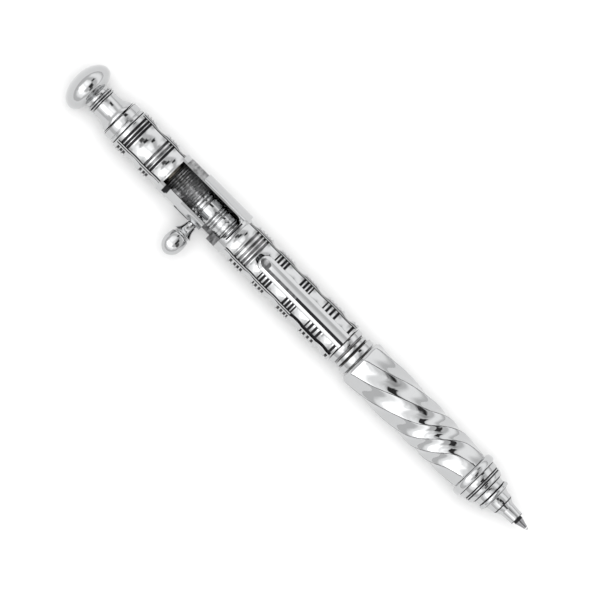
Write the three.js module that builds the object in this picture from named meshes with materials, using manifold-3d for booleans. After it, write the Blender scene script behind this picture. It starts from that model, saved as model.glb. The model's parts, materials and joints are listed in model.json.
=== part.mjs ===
// Bolt action ballpoint pen, in millimetres.
// +X runs along the pen from the knob to the writing tip, +Z faces the clip
// and the receiver window, and the bolt handle points to -Y.
// The origin is the centre of the small flat on the end of the knob.

import * as THREE from 'three';
import { mergeVertices } from 'three/addons/utils/BufferGeometryUtils.js';
import Module from 'manifold-3d';

const wasm = await Module();
wasm.setup();

// Running and seating clearances
const seam = 0.1;
const fit = 0.3;
const threadFit = 0.25;

// Facets around turned pieces
const wideSides = 32;
const trimSides = 24;
const smallSides = 20;

// Knob at the rear end
const knobRadius = 6.25;
const knobFlatRadius = 1.6;
const knobLength = 5.6;
const knobCrown = 3.8;
const knobNeckRadius = 3.2;
const knobNeckLength = 1.5;
const beadRadius = 3.65;
const beadLength = 1.3;
const flareNeckRadius = 3.3;
const flareRadius = 4.55;
const flareLength = 4.9;
const studRadius = 1.4;
const studDepthInPlug = 5.2;
const studDepthInKnob = 3.0;

// Collar and plug that close the housing at the rear
const collarRadius = 5.0;
const collarLength = 3.1;
const collarGrooveDepth = 0.3;
const plugStopGap = 0.6;

// Engraved housing
const housingLength = 68.9;
const housingRadius = 5.4;
const boreRadius = 3.4;
const waistDepth = 0.6;
const waists = [
  [5.67, 3.9], [12.37, 3.2], [35.6, 3.0], [42.8, 3.2], [50.3, 4.1], [57.7, 3.9], [65.7, 3.2],
];
const ribGrooveWidth = 0.5;
const ribGrooveDepth = 0.4;
const ribAngle = 48.75;

// Receiver window, its raised lip and the bolt slot
const windowRear = 14.2;
const windowLength = 19.1;
const windowHalfWidth = 3.2;
const windowCorner = 1.6;
const lipSetback = 6.3;
const lipHeight = 0.4;
const lipFrom = 40;
const lipTo = 84;
const lipFrontWidth = 1.0;
const notchWidth = 1.4;
const notchWall = 0.2;
const notchFloor = 2.2;
const openingSetback = 0.8;
const openingLength = 4.9;

// Bolt, its handle and its travel
const handleFromBoltRear = 2.6;
const retractTravel = 7.4;
const overTravel = 3.0;
const lockTurn = 28;
const boltRadius = 3.0;
const boltLength = 10.3;
const boltGrooveDepth = 0.3;
const boltGrooves = [0.7, 5.0, 5.7, 6.4, 8.1];
const boltGrooveWidth = 0.3;
const pinRadius = 0.9;
const pinHeadRadius = 1.6;
const pinHeadLength = 0.7;
const pusherRadius = 2.7;
const pusherLength = 0.9;
const stemRadius = 1.13;
const spigotRadius = 0.8;
const spigotInner = 1.5;
const skirtStart = 5.65;
const skirtEnd = 8.3;
const skirtRadius = 2.4;
const handleRingLength = 0.4;
const handleRingRadius = 2.0;
const handleKnobLength = 5.3;
const handleKnobRadius = 2.6;

// Clip
const clipLength = 27.0;
const clipHalfWidth = 2.0;
const clipTopHalfWidth = 0.45;
const clipTop = 6.75;
const clipSkirt = 5.15;
const clipSide = 5.75;
const clipShoulder = 6.02;
const clipRidgeFoot = 1.15;
const tangOffset = 1.0;
const tangLength = 1.4;
const tangHalfWidth = 0.9;
const tangDepth = 1.5;

// Threaded couplers, centre rings and the twisted lower barrel
const couplerRadius = 3.8;
const sleeveBore = 3.3;
const couplerInHousing = 8.0;
const couplerInBarrel = 6.8;
const ringRear = { length: 1.9, radius: 4.9, lip: 0.5 };
const ringMiddle = { length: 1.2, radius: 4.55, lip: 0.3 };
const ringFront = { length: 1.9, radius: 4.95, lip: 0.2 };
const ringLipRadius = 4.3;
const barrelLength = 35.5;
const barrelRearRadius = 5.95;
const barrelFrontRadius = 5.15;
const barrelChamfer = 0.7;
const fluteCount = 8;
const fluteDepth = 0.4;
const fluteSteps = 28;

// Angle of one ridge in degrees, against the share of the barrel's length
const twistPath = [[0, 42], [0.17, 25], [0.34, 0], [0.51, -26], [0.59, -45], [0.72, -90],
  [0.86, -135], [1, -152]];

// Nib end
const nibBeadLength = 2.0;
const nibBeadRadius = 5.95;
const nibLength = 13.0;
const nibCollarRadius = 5.2;
const nibEndRadius = 1.65;
const nibCouplerInBarrel = 6.0;
const nibCouplerInNib = 2.4;
const springSeat = 5.6;
const noseBoreSetback = 3.1;
const neckBoreLength = 0.8;
const noseFit = 0.22;

// Refill and its return spring
const refillTipReach = 3.5;
const refillRadius = 2.95;
const neckRadius = 1.75;
const noseRadius = 1.08;
const ballRadius = 0.35;
const refillCapLength = 5.0;
const refillShoulder = 27.0;
const shoulderLength = 2.0;
const neckLength = 13.0;
const springInner = 2.1;
const springOuter = 2.68;

// Stations along the pen, each worked out from the sizes above
const beadStart = knobLength + knobNeckLength + seam;
const flareStart = beadStart + beadLength + seam;
const collarStart = flareStart + flareLength + seam;
const housingStart = collarStart + collarLength + seam;
const housingEnd = housingStart + housingLength;
const windowStart = housingStart + windowRear;
const windowEnd = windowStart + windowLength;
const boltFront = windowEnd;
const boltRear = boltFront - boltLength;
const handleX = boltRear + handleFromBoltRear;
const plugEnd = boltRear - retractTravel - plugStopGap;
const slotHalfWidth = stemRadius + fit;
const slotRear = handleX - retractTravel - slotHalfWidth;
const clipRear = housingEnd - clipLength;
const ringRearStart = housingEnd + seam;
const ringMiddleStart = ringRearStart + ringRear.length + seam;
const ringFrontStart = ringMiddleStart + ringMiddle.length + seam;
const barrelStart = ringFrontStart + ringFront.length + seam;
const barrelEnd = barrelStart + barrelLength;
const nibBeadStart = barrelEnd + seam;
const nibStart = nibBeadStart + nibBeadLength + seam;
const nibEnd = nibStart + nibLength;
const refillTip = nibEnd + refillTipReach;
const pusherStart = boltFront + seam;
const refillStart = pusherStart + pusherLength + seam;

// Colours and finishes
const chrome = () => new THREE.MeshStandardMaterial({ color: 0xd9dbde, metalness: 1, roughness: 0.08 });
const darkChrome = () => new THREE.MeshStandardMaterial({ color: 0x8d9094, metalness: 1, roughness: 0.15 });
const brass = () => new THREE.MeshStandardMaterial({ color: 0xc8a45a, metalness: 1, roughness: 0.3 });
const steel = () => new THREE.MeshStandardMaterial({ color: 0xa9abad, metalness: 1, roughness: 0.25 });
const plastic = () => new THREE.MeshStandardMaterial({ color: 0x2b2d30, metalness: 0, roughness: 0.5 });

const pen = new THREE.Group();

function addPiece(name, geometry, material) {
  const mesh = new THREE.Mesh(geometry, material);
  mesh.name = name;
  pen.add(mesh);
}

// A turned piece from a profile of [distance along X, radius] points
function turned(profile, sides) {
  const points = profile.map(([along, radius]) => new THREE.Vector2(radius, along));
  const geometry = new THREE.LatheGeometry(points, sides);
  geometry.rotateZ(-Math.PI / 2);
  return geometry;
}

// A turned piece with a plain through bore
function turnedRing(profile, bore, sides) {
  const start = profile[0][0];
  const end = profile[profile.length - 1][0];
  return turned([[start, bore], ...profile, [end, bore], [start, bore]], sides);
}

// A turned solid that closes on the axis at both ends
function turnedRod(profile, sides) {
  const start = profile[0][0];
  const end = profile[profile.length - 1][0];
  return turned([[start, 0], ...profile, [end, 0]], sides);
}

function toSolid(geometry) {
  const bare = geometry.clone();
  bare.deleteAttribute('normal');
  bare.deleteAttribute('uv');
  const merged = mergeVertices(bare, 1e-4);
  return new wasm.Manifold(new wasm.Mesh({
    numProp: 3,
    vertProperties: new Float32Array(merged.attributes.position.array),
    triVerts: new Uint32Array(merged.index.array),
  }));
}

function toGeometry(solid) {
  const mesh = solid.getMesh();
  const geometry = new THREE.BufferGeometry();
  geometry.setAttribute('position', new THREE.BufferAttribute(mesh.vertProperties, 3));
  geometry.setIndex(new THREE.BufferAttribute(mesh.triVerts, 1));
  geometry.computeVertexNormals();
  return geometry;
}

// A box given by its lowest and highest corner
function block(low, high) {
  const size = high.map((value, axis) => value - low[axis]);
  const geometry = new THREE.BoxGeometry(...size);
  geometry.translate(...high.map((value, axis) => (value + low[axis]) / 2));
  return geometry;
}

// A wall sector around the pen's axis, angles in degrees from +Z towards +Y
function sector(start, end, inner, outer, fromAngle, toAngle) {
  const from = Math.PI / 2 - THREE.MathUtils.degToRad(toAngle);
  const to = Math.PI / 2 - THREE.MathUtils.degToRad(fromAngle);
  const shape = new THREE.Shape();
  shape.absarc(0, 0, outer, from, to, false);
  shape.absarc(0, 0, inner, to, from, true);
  const geometry = new THREE.ExtrudeGeometry(shape, {
    depth: end - start, bevelEnabled: false, curveSegments: 8,
  });
  // The sketch plane's x and y become the pen's Y and Z
  geometry.applyMatrix4(new THREE.Matrix4().set(0, 0, 1, start, 1, 0, 0, 0, 0, 1, 0, 0, 0, 0, 0, 1));
  return geometry;
}

// Knob, bead and flare, held on one stud
function knobProfile() {
  const points = [[0, knobFlatRadius]];
  const crownSteps = 6;
  const start = Math.asin(knobFlatRadius / knobRadius);
  for (let step = 1; step <= crownSteps; step += 1) {
    const angle = start + (Math.PI / 2 - start) * step / crownSteps;
    const rise = (1 - Math.cos(angle)) - (1 - Math.cos(start));
    points.push([knobCrown * rise / Math.cos(start), knobRadius * Math.sin(angle)]);
  }
  const under = knobLength - knobCrown;
  points.push([knobCrown + under * 0.45, knobRadius * 0.95]);
  points.push([knobCrown + under * 0.8, knobRadius * 0.86]);
  points.push([knobLength, knobRadius * 0.77]);
  points.push([knobLength + knobNeckLength * 0.3, knobRadius * 0.64]);
  points.push([knobLength + knobNeckLength * 0.45, knobNeckRadius]);
  points.push([knobLength + knobNeckLength, knobNeckRadius]);
  return points;
}

function knobGeometry() {
  const outer = knobProfile();
  const end = knobLength + knobNeckLength;
  const bore = studRadius + fit;
  const floor = end - studDepthInKnob - fit;
  return turned([[0, 0], ...outer, [end, bore], [floor, bore], [floor, 0]], trimSides);
}

function beadGeometry() {
  const middle = beadStart + beadLength / 2;
  const shoulder = beadRadius * 0.88;
  return turnedRing([
    [beadStart, shoulder], [beadStart + beadLength * 0.2, beadRadius],
    [middle - beadLength * 0.1, beadRadius], [middle, shoulder],
    [middle + beadLength * 0.1, beadRadius], [beadStart + beadLength * 0.85, beadRadius],
    [beadStart + beadLength, shoulder],
  ], studRadius + fit, trimSides);
}

function flareGeometry() {
  const steps = 6;
  const points = [];
  for (let step = 0; step <= steps; step += 1) {
    const share = step / steps;
    const radius = flareNeckRadius + (flareRadius - flareNeckRadius) * share ** 2.4;
    points.push([flareStart + flareLength * share, radius]);
  }
  return turnedRing(points, studRadius + fit, trimSides);
}

function studGeometry() {
  const start = knobLength + knobNeckLength - studDepthInKnob;
  const end = housingStart + studDepthInPlug;
  return turnedRod([[start, studRadius], [end, studRadius]], smallSides);
}

// Rear collar and the plug that it clamps
function collarGeometry() {
  const start = collarStart;
  const end = collarStart + collarLength;
  const chamfer = 0.25;
  const groove = start + collarLength * 0.72;
  const grooveHalf = 0.15;
  return turnedRing([
    [start, collarRadius - chamfer], [start + chamfer, collarRadius],
    [groove - grooveHalf, collarRadius], [groove, collarRadius - collarGrooveDepth],
    [groove + grooveHalf, collarRadius], [end - chamfer, collarRadius],
    [end, collarRadius - chamfer],
  ], studRadius + fit, trimSides);
}

function plugGeometry() {
  const radius = boreRadius - fit;
  const bore = studRadius + fit;
  const floor = housingStart + studDepthInPlug + fit;
  const chamfer = 0.3;
  return turned([
    [plugEnd, 0], [plugEnd, radius - chamfer], [plugEnd - chamfer, radius], [housingStart, radius],
    [housingStart, bore], [floor, bore], [floor, 0],
  ].reverse(), smallSides);
}

// Housing: a turned shell with waists, then its window, slot, lip and ribs
function housingProfile() {
  const points = [[housingStart, housingRadius]];
  const share = [[-0.5, 0], [-0.3, 0.66], [0, 1], [0.3, 0.66], [0.5, 0]];
  for (const [centre, width] of waists) {
    for (const [along, depth] of share) {
      points.push([housingStart + centre + along * width, housingRadius - depth * waistDepth]);
    }
  }
  points.push([housingEnd, housingRadius]);
  return points;
}

function housingShell() {
  const socket = couplerRadius + fit;
  const floor = housingEnd - couplerInHousing - fit;
  const outer = housingProfile();
  return toSolid(turned([
    [housingStart, boreRadius], ...outer, [housingEnd, socket], [floor, socket], [floor, boreRadius],
    [housingStart, boreRadius],
  ], wideSides));
}

function receiverLip() {
  const outer = housingRadius + lipHeight;
  const start = windowStart + lipSetback;
  const end = windowEnd;
  const inner = housingRadius - 0.8;
  const side = sector(start, end + lipFrontWidth, inner, outer, lipFrom, lipTo);
  const front = sector(end - windowCorner, end + lipFrontWidth, inner, outer, -34, lipFrom + 1);
  return toSolid(side).add(toSolid(front));
}

function windowCut() {
  const start = windowStart;
  const end = windowEnd;
  const reach = housingRadius * 2;
  const shape = new THREE.Shape();
  shape.moveTo(start, -windowHalfWidth);
  shape.lineTo(end - windowCorner, -windowHalfWidth);
  shape.absarc(end - windowCorner, -windowHalfWidth + windowCorner, windowCorner, -Math.PI / 2, 0, false);
  shape.absarc(end - windowCorner, windowHalfWidth - windowCorner, windowCorner, 0, Math.PI / 2, false);
  shape.lineTo(start, windowHalfWidth);
  shape.closePath();
  const geometry = new THREE.ExtrudeGeometry(shape, {
    depth: reach, bevelEnabled: false, curveSegments: 4,
  });
  return toSolid(geometry);
}

// The straight slot, with a pocket at each end for the turned handle
function slotCuts() {
  const rear = slotRear;
  const opening = windowEnd - openingSetback;
  const outside = housingRadius * 1.6;
  const side = (start, end, low, high) => block([start, -outside, low], [end, -boreRadius * 0.6, high]);
  const straight = toSolid(side(rear, opening, -slotHalfWidth, slotHalfWidth));
  const front = toSolid(block(
    [opening - openingLength, -outside, 0], [opening, -windowHalfWidth / 2, outside],
  ));
  const pockets = [
    [rear, handleX - retractTravel + slotHalfWidth],
    [handleX - slotHalfWidth, handleX + overTravel + slotHalfWidth],
  ];
  let cut = straight.add(front);
  for (const [start, end] of pockets) {
    for (const share of [0.5, 1]) {
      const pocket = side(start, end, -slotHalfWidth, slotHalfWidth);
      pocket.rotateX(THREE.MathUtils.degToRad(lockTurn * share));
      cut = cut.add(toSolid(pocket));
    }
  }
  const notchStart = slotRear - notchWall - notchWidth;
  const notch = block(
    [notchStart, -outside, notchFloor], [notchStart + notchWidth, -windowHalfWidth / 2, outside],
  );
  return cut.add(toSolid(notch));
}

// Four long grooves part the housing into four engraved panels
function ribCuts() {
  const cuts = [];
  const receiverFront = windowEnd + lipFrontWidth + seam;
  const receiverRear = housingStart + waists[1][0] + waists[1][1] / 2;
  for (const angle of [ribAngle, 180 - ribAngle, 180 + ribAngle, 360 - ribAngle]) {
    for (const [start, end] of [[housingStart - 1, receiverRear], [receiverFront, housingEnd + 1]]) {
      const groove = block(
        [start, -ribGrooveWidth / 2, housingRadius - ribGrooveDepth],
        [end, ribGrooveWidth / 2, housingRadius + 1],
      );
      groove.rotateX(THREE.MathUtils.degToRad(angle));
      cuts.push(groove);
    }
  }
  return cuts.map((cut) => toSolid(cut));
}

function clipPocket() {
  const start = clipRear + tangOffset - fit;
  const halfWidth = tangHalfWidth + fit;
  return toSolid(block(
    [start, -halfWidth, 0], [start + tangLength + 2 * fit, halfWidth, housingRadius * 2],
  ));
}

function housingGeometry() {
  let solid = housingShell().add(receiverLip());
  solid = solid.subtract(windowCut()).subtract(slotCuts()).subtract(clipPocket());
  for (const cut of ribCuts()) {
    solid = solid.subtract(cut);
  }
  return toGeometry(solid);
}

// Bolt: a ringed sleeve that turns on the pusher pin
function boltProfile() {
  const chamfer = 0.2;
  const points = [[boltRear, boltRadius - chamfer], [boltRear + chamfer, boltRadius]];
  for (const place of boltGrooves) {
    const start = boltRear + place;
    points.push([start, boltRadius], [start + boltGrooveWidth / 2, boltRadius - boltGrooveDepth]);
    points.push([start + boltGrooveWidth, boltRadius]);
  }
  points.push([boltFront - chamfer, boltRadius], [boltFront, boltRadius - chamfer]);
  return points;
}

function boltGeometry() {
  const bore = pinRadius + threadFit;
  const counterbore = pinHeadRadius + threadFit;
  const floor = boltRear + pinHeadLength + 2 * seam;
  const sleeve = toSolid(turned([
    [boltRear, counterbore], ...boltProfile(), [boltFront, bore], [floor, bore],
    [floor, counterbore], [boltRear, counterbore],
  ], smallSides));
  const hole = new THREE.CylinderGeometry(
    spigotRadius + threadFit, spigotRadius + threadFit, boltRadius * 2, 12,
  );
  hole.translate(handleX, -boltRadius, 0);
  return toGeometry(sleeve.subtract(toSolid(hole)));
}

function pusherGeometry() {
  const headStart = boltRear + seam;
  return turnedRod([
    [headStart, pinHeadRadius], [headStart + pinHeadLength, pinHeadRadius],
    [headStart + pinHeadLength, pinRadius], [pusherStart, pinRadius],
    [pusherStart, pusherRadius], [pusherStart + pusherLength, pusherRadius],
  ], smallSides);
}

// Handle pieces are turned about a line that leaves the pen along -Y
function placeOnHandle(geometry) {
  geometry.rotateZ(-Math.PI / 2);
  geometry.translate(handleX, 0, 0);
  return geometry;
}

const handleRingStart = skirtEnd + seam;
const handleKnobStart = handleRingStart + handleRingLength + seam;
const handleBore = spigotRadius + threadFit;
const stemCoreEnd = handleKnobStart + handleKnobLength * 0.4;

function handleStemGeometry() {
  const collar = boltRadius + seam;
  return placeOnHandle(turnedRod([
    [spigotInner, spigotRadius], [collar, spigotRadius], [collar, stemRadius],
    [skirtStart - seam, stemRadius], [skirtStart - seam, spigotRadius], [stemCoreEnd, spigotRadius],
  ], 16));
}

function handleSkirtGeometry() {
  const length = skirtEnd - skirtStart;
  const steps = 4;
  const points = [];
  const narrow = stemRadius + 0.2;
  for (let step = 0; step <= steps; step += 1) {
    const share = step / steps;
    points.push([skirtStart + length * share, narrow + (skirtRadius - narrow) * share ** 1.6]);
  }
  return placeOnHandle(turnedRing(points, handleBore, smallSides));
}

function handleRingGeometry() {
  const end = handleRingStart + handleRingLength;
  return placeOnHandle(turnedRing(
    [[handleRingStart, handleRingRadius], [end, handleRingRadius]], handleBore, smallSides,
  ));
}

function handleKnobGeometry() {
  const end = handleKnobStart + handleKnobLength;
  const floor = stemCoreEnd + fit;
  const shape = [[0, 0.7], [0.06, 0.82], [0.22, 0.97], [0.4, 1], [0.6, 0.93], [0.78, 0.76],
    [0.92, 0.48], [1, 0.2]];
  const outer = shape.map(([along, share]) => [
    handleKnobStart + handleKnobLength * along, handleKnobRadius * share,
  ]);
  return placeOnHandle(turned([
    [floor, 0], [floor, handleBore], [handleKnobStart, handleBore], ...outer, [end, 0],
  ], smallSides));
}

// Clip: a bevelled bar over the housing, rooted by a tang
function clipGeometry() {
  const end = clipRear + clipLength;
  const shape = new THREE.Shape();
  shape.moveTo(-clipHalfWidth, clipSkirt);
  shape.lineTo(clipHalfWidth, clipSkirt);
  shape.lineTo(clipHalfWidth, clipSide);
  shape.lineTo(clipRidgeFoot, clipShoulder);
  shape.lineTo(clipTopHalfWidth, clipTop);
  shape.lineTo(-clipTopHalfWidth, clipTop);
  shape.lineTo(-clipRidgeFoot, clipShoulder);
  shape.lineTo(-clipHalfWidth, clipSide);
  shape.closePath();
  const bar = new THREE.ExtrudeGeometry(shape, { depth: end - clipRear, bevelEnabled: false });
  bar.applyMatrix4(new THREE.Matrix4().set(0, 0, 1, clipRear, 1, 0, 0, 0, 0, 1, 0, 0, 0, 0, 0, 1));
  const clearance = turnedRod(
    [[clipRear - 1, housingRadius + fit], [end + 1, housingRadius + fit]], wideSides,
  );
  const head = new THREE.CylinderGeometry(
    clipHalfWidth * 1.15, clipHalfWidth * 1.15, clipTop * 2, 20,
  );
  head.rotateX(Math.PI / 2);
  head.translate(clipRear + clipHalfWidth * 1.15, 0, clipTop);
  const straight = block(
    [clipRear + clipHalfWidth * 1.15, -clipHalfWidth * 2, 0], [end, clipHalfWidth * 2, clipTop * 2],
  );
  const outline = toSolid(head).add(toSolid(straight));
  const tangStart = clipRear + tangOffset;
  const tang = block(
    [tangStart, -tangHalfWidth, housingRadius + fit - tangDepth],
    [tangStart + tangLength, tangHalfWidth, housingRadius + fit + 0.3],
  );
  const arm = toSolid(bar).intersect(outline).subtract(toSolid(clearance));
  return toGeometry(arm.add(toSolid(tang)));
}

// Threaded tube that joins housing and lower barrel, and the three rings on it
function couplerGeometry() {
  const start = housingEnd - couplerInHousing;
  const end = barrelStart + couplerInBarrel;
  return turnedRing([[start, couplerRadius], [end, couplerRadius]], sleeveBore, trimSides);
}

function centreRingGeometry(start, ring) {
  const bore = couplerRadius + fit;
  const end = start + ring.length;
  const chamfer = 0.15;
  return turnedRing([
    [start, ring.radius - chamfer], [start + chamfer, ring.radius],
    [end - ring.lip - chamfer, ring.radius], [end - ring.lip, ring.radius - chamfer],
    [end - ring.lip, ringLipRadius], [end, ringLipRadius],
  ], bore, trimSides);
}

// Lower barrel: eight sharp ridges whose twist grows towards the tip
const twistCurve = new THREE.SplineCurve(
  twistPath.map(([along, angle]) => new THREE.Vector2(along * barrelLength, angle)),
);

function barrelRadiusAt(along) {
  const share = along / barrelLength;
  const swell = barrelRearRadius + (barrelFrontRadius - barrelRearRadius) * share ** 1.3;
  const fromEnd = Math.min(along, barrelLength - along);
  const chamfer = Math.max(0, barrelChamfer - fromEnd);
  return swell - chamfer * 0.9;
}

// Ridge angle at a distance along the barrel, and the radius that the flutes leave
function barrelRows() {
  const rows = [];
  for (let step = 0; step <= fluteSteps; step += 1) {
    const point = twistCurve.getPoint(step / fluteSteps);
    rows.push({ along: point.x, twist: THREE.MathUtils.degToRad(point.y) });
  }
  const first = rows[0].twist;
  const last = rows[fluteSteps].twist;
  rows.push({ along: barrelChamfer, twist: first });
  rows.push({ along: barrelLength - barrelChamfer, twist: last });
  return rows.sort((one, other) => one.along - other.along);
}

function barrelGeometry() {
  const perFlute = 4;
  const around = fluteCount * perFlute;
  const rows = barrelRows();
  const positions = [];
  for (const { along, twist } of rows) {
    const fromEnd = Math.min(along, barrelLength - along);
    const fade = Math.min(1, fromEnd / (barrelChamfer * 2));
    for (let spoke = 0; spoke < around; spoke += 1) {
      const hollow = 1 - Math.abs((spoke % perFlute) / perFlute * 2 - 1);
      const radius = barrelRadiusAt(along) - fluteDepth * fade * Math.sin(hollow * Math.PI / 2);
      const angle = twist + spoke / around * Math.PI * 2;
      positions.push(barrelStart + along, -radius * Math.sin(angle), radius * Math.cos(angle));
    }
  }
  const rearCentre = positions.length / 3;
  positions.push(barrelStart, 0, 0, barrelEnd, 0, 0);
  const index = [];
  const lastRow = (rows.length - 1) * around;
  for (let spoke = 0; spoke < around; spoke += 1) {
    const beside = (spoke + 1) % around;
    for (let row = 0; row < lastRow; row += around) {
      index.push(row + spoke, row + beside, row + around + beside);
      index.push(row + spoke, row + around + beside, row + around + spoke);
    }
    index.push(rearCentre, beside, spoke);
    index.push(rearCentre + 1, lastRow + spoke, lastRow + beside);
  }
  const geometry = new THREE.BufferGeometry();
  geometry.setAttribute('position', new THREE.Float32BufferAttribute(positions, 3));
  geometry.setIndex(index);
  const bore = couplerRadius + fit;
  const core = turnedRod([[barrelStart - 1, bore], [barrelEnd + 1, bore]], wideSides);
  return toGeometry(toSolid(geometry).subtract(toSolid(core)));
}

function barrelTubeGeometry() {
  const start = barrelStart + couplerInBarrel + fit;
  const end = barrelEnd - nibCouplerInBarrel - fit;
  return turnedRing([[start, couplerRadius], [end, couplerRadius]], sleeveBore, trimSides);
}

// Nib end: bead, threaded coupler and the stepped nib
function nibBeadGeometry() {
  const end = nibBeadStart + nibBeadLength;
  const shoulder = nibBeadRadius - 0.45;
  return turnedRing([
    [nibBeadStart, shoulder], [nibBeadStart + nibBeadLength * 0.2, nibBeadRadius - 0.12],
    [nibBeadStart + nibBeadLength * 0.5, nibBeadRadius],
    [nibBeadStart + nibBeadLength * 0.8, nibBeadRadius - 0.12], [end, shoulder],
  ], couplerRadius + fit, trimSides);
}

function nibCouplerGeometry() {
  const start = barrelEnd - nibCouplerInBarrel;
  const end = nibStart + nibCouplerInNib;
  return turnedRing([[start, couplerRadius], [end, couplerRadius]], sleeveBore, trimSides);
}

function nibGeometry() {
  const at = (share, radius) => [nibStart + share * nibLength, radius];
  const grooveDepth = 0.25;
  const collar = nibCollarRadius;
  const outer = [
    at(0, collar + 0.1), at(0.108, collar), at(0.12, collar - grooveDepth), at(0.131, collar - 0.05),
    at(0.142, collar - 0.1), at(0.154, collar - grooveDepth - 0.1), at(0.165, collar - 0.2),
    at(0.2, 4.9), at(0.254, 4.6), at(0.27, 3.9), at(0.377, 3.8), at(0.4, 4.25), at(0.454, 4.25),
    at(0.485, 3.2), at(0.554, 2.85), at(0.646, 2.7), at(0.7, 2.25), at(0.762, 1.9),
    at(0.892, 1.75), at(1, nibEndRadius),
  ];
  const socket = couplerRadius + fit;
  const socketFloor = nibCouplerInNib + fit;
  const noseBore = noseRadius + noseFit;
  const neckBore = neckRadius + fit;
  const seatBore = springOuter + fit;
  const seat = nibStart + springSeat;
  const inner = [
    [nibEnd, noseBore], [seat + noseBoreSetback, noseBore], [seat + neckBoreLength, neckBore],
    [seat, neckBore], [seat, seatBore], [nibStart + socketFloor, seatBore],
    [nibStart + socketFloor, socket], [nibStart, socket],
  ];
  return turned([...outer, ...inner, outer[0]], trimSides);
}

// Refill: cap, tube with its neck, nose and ball, and the spring around the neck
const neckStart = refillTip - refillShoulder;
const neckEnd = neckStart + neckLength;
const noseStart = neckEnd + seam;
const noseTaper = 2.0;
const coneLength = 2.4;

function refillCapGeometry() {
  const end = refillStart + refillCapLength;
  const slot = 0.6;
  const cap = toSolid(turnedRod([
    [refillStart, refillRadius - 0.3], [refillStart + 0.3, refillRadius], [end, refillRadius],
  ], smallSides));
  const cross = toSolid(block(
    [refillStart - 1, -slot, -refillRadius * 2], [refillStart + 1.2, slot, refillRadius * 2],
  ));
  return toGeometry(cap.subtract(cross));
}

function refillTubeGeometry() {
  const start = refillStart + refillCapLength + seam;
  return turnedRod([
    [start, refillRadius], [neckStart - shoulderLength, refillRadius], [neckStart, neckRadius],
    [neckEnd, neckRadius],
  ], smallSides);
}

function refillNoseGeometry() {
  return turnedRod([
    [noseStart, neckRadius], [noseStart + noseTaper, noseRadius],
    [refillTip - coneLength, noseRadius], [refillTip - 2 * ballRadius, ballRadius + 0.1],
  ], 16);
}

function refillBallGeometry() {
  const ball = new THREE.SphereGeometry(ballRadius, 12, 8);
  ball.translate(refillTip - ballRadius, 0, 0);
  const behind = block(
    [refillTip - 4 * ballRadius, -1, -1], [refillTip - 2 * ballRadius + seam * 2, 1, 1],
  );
  return toGeometry(toSolid(ball).subtract(toSolid(behind)));
}

function springGeometry() {
  const start = neckStart + fit;
  const end = nibStart + springSeat - fit;
  return turnedRing([[start, springOuter], [end, springOuter]], springInner, smallSides);
}

addPiece('finial_knob', knobGeometry(), chrome());
addPiece('finial_bead', beadGeometry(), chrome());
addPiece('finial_flare', flareGeometry(), chrome());
addPiece('finial_stud', studGeometry(), steel());
addPiece('end_collar', collarGeometry(), chrome());
addPiece('end_plug', plugGeometry(), brass());
addPiece('housing', housingGeometry(), chrome());
addPiece('bolt', boltGeometry(), chrome());
addPiece('pusher_pin', pusherGeometry(), steel());
addPiece('handle_stem', handleStemGeometry(), chrome());
addPiece('handle_skirt', handleSkirtGeometry(), chrome());
addPiece('handle_ring', handleRingGeometry(), chrome());
addPiece('handle_knob', handleKnobGeometry(), chrome());
addPiece('clip', clipGeometry(), chrome());
addPiece('coupler', couplerGeometry(), brass());
addPiece('centre_ring_rear', centreRingGeometry(ringRearStart, ringRear), chrome());
addPiece('centre_ring_middle', centreRingGeometry(ringMiddleStart, ringMiddle), chrome());
addPiece('centre_ring_front', centreRingGeometry(ringFrontStart, ringFront), chrome());
addPiece('twisted_barrel', barrelGeometry(), chrome());
addPiece('barrel_tube', barrelTubeGeometry(), brass());
addPiece('nib_bead', nibBeadGeometry(), chrome());
addPiece('nib_coupler', nibCouplerGeometry(), brass());
addPiece('nib', nibGeometry(), chrome());
addPiece('refill_cap', refillCapGeometry(), plastic());
addPiece('refill_tube', refillTubeGeometry(), steel());
addPiece('refill_nose', refillNoseGeometry(), darkChrome());
addPiece('refill_ball', refillBallGeometry(), steel());
addPiece('return_spring', springGeometry(), steel());

export default pen;
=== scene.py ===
import json
import math

import bpy
from mathutils import Matrix

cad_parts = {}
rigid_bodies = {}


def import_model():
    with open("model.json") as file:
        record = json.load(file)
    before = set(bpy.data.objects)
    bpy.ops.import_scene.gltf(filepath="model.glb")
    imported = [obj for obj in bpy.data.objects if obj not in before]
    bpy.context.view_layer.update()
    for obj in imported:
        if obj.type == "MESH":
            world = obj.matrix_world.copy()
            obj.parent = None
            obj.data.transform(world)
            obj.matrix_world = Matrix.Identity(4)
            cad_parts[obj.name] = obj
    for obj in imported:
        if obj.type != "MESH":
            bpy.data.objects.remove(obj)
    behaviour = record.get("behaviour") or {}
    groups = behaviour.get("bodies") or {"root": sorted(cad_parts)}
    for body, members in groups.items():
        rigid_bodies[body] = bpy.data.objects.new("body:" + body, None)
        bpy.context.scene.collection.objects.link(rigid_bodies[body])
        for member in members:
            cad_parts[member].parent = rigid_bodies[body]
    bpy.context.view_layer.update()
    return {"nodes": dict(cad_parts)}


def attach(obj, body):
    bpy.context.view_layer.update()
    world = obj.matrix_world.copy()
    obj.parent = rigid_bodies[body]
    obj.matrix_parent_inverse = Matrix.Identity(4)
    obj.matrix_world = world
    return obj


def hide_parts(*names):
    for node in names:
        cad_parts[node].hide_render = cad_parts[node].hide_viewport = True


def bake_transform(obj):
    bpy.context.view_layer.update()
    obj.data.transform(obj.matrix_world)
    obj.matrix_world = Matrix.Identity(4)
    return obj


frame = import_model()


# Finial knob: a mushroom of solid brass, turned on a lathe, polished and
# chrome-plated. Its domed end has the small flat that the lathe's centre left.
MM = 0.001
RIGHT = math.pi / 2


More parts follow.
